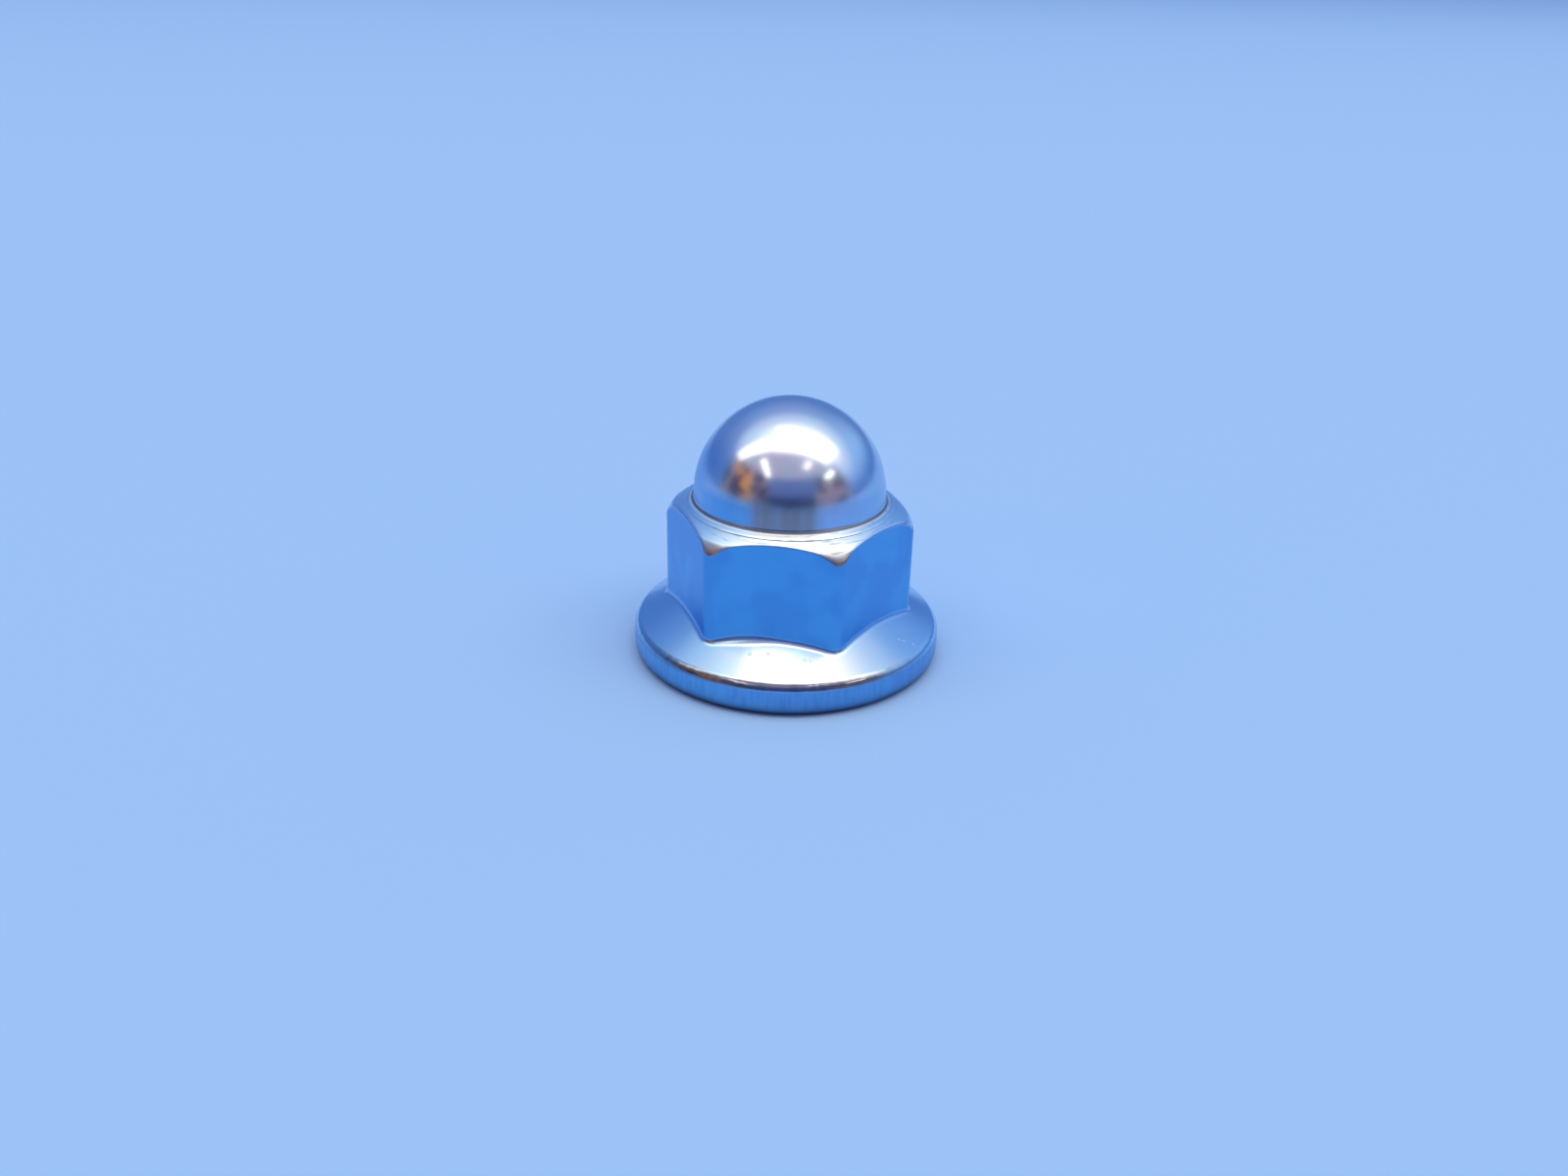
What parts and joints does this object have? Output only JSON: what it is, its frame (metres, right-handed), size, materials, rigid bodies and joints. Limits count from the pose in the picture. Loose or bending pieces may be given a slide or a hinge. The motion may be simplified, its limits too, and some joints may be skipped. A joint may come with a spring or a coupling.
{
  "type": "flanged cap nut",
  "caption": "Hexagonal cap nut with a conical flange, a blind threaded hole and a smooth dome that covers the end of the bolt or stud.",
  "frame": {"origin": "middle of the seat, on the thread's axis", "axes": "+Z along the thread's axis, from the seat to the top of the dome; a flat of the hexagon faces +Y and another -Y, and two corners lie on the X axis"},
  "size_m": [0.017, 0.017, 0.0144],
  "materials": {
    "zinc_plate": "bright zinc plate with a clear blue passivate, glossy on the dome and satin on the flats"
  },
  "bodies": {
    "root": {"cap_nut": "zinc_plate"}
  },
  "joints": []
}
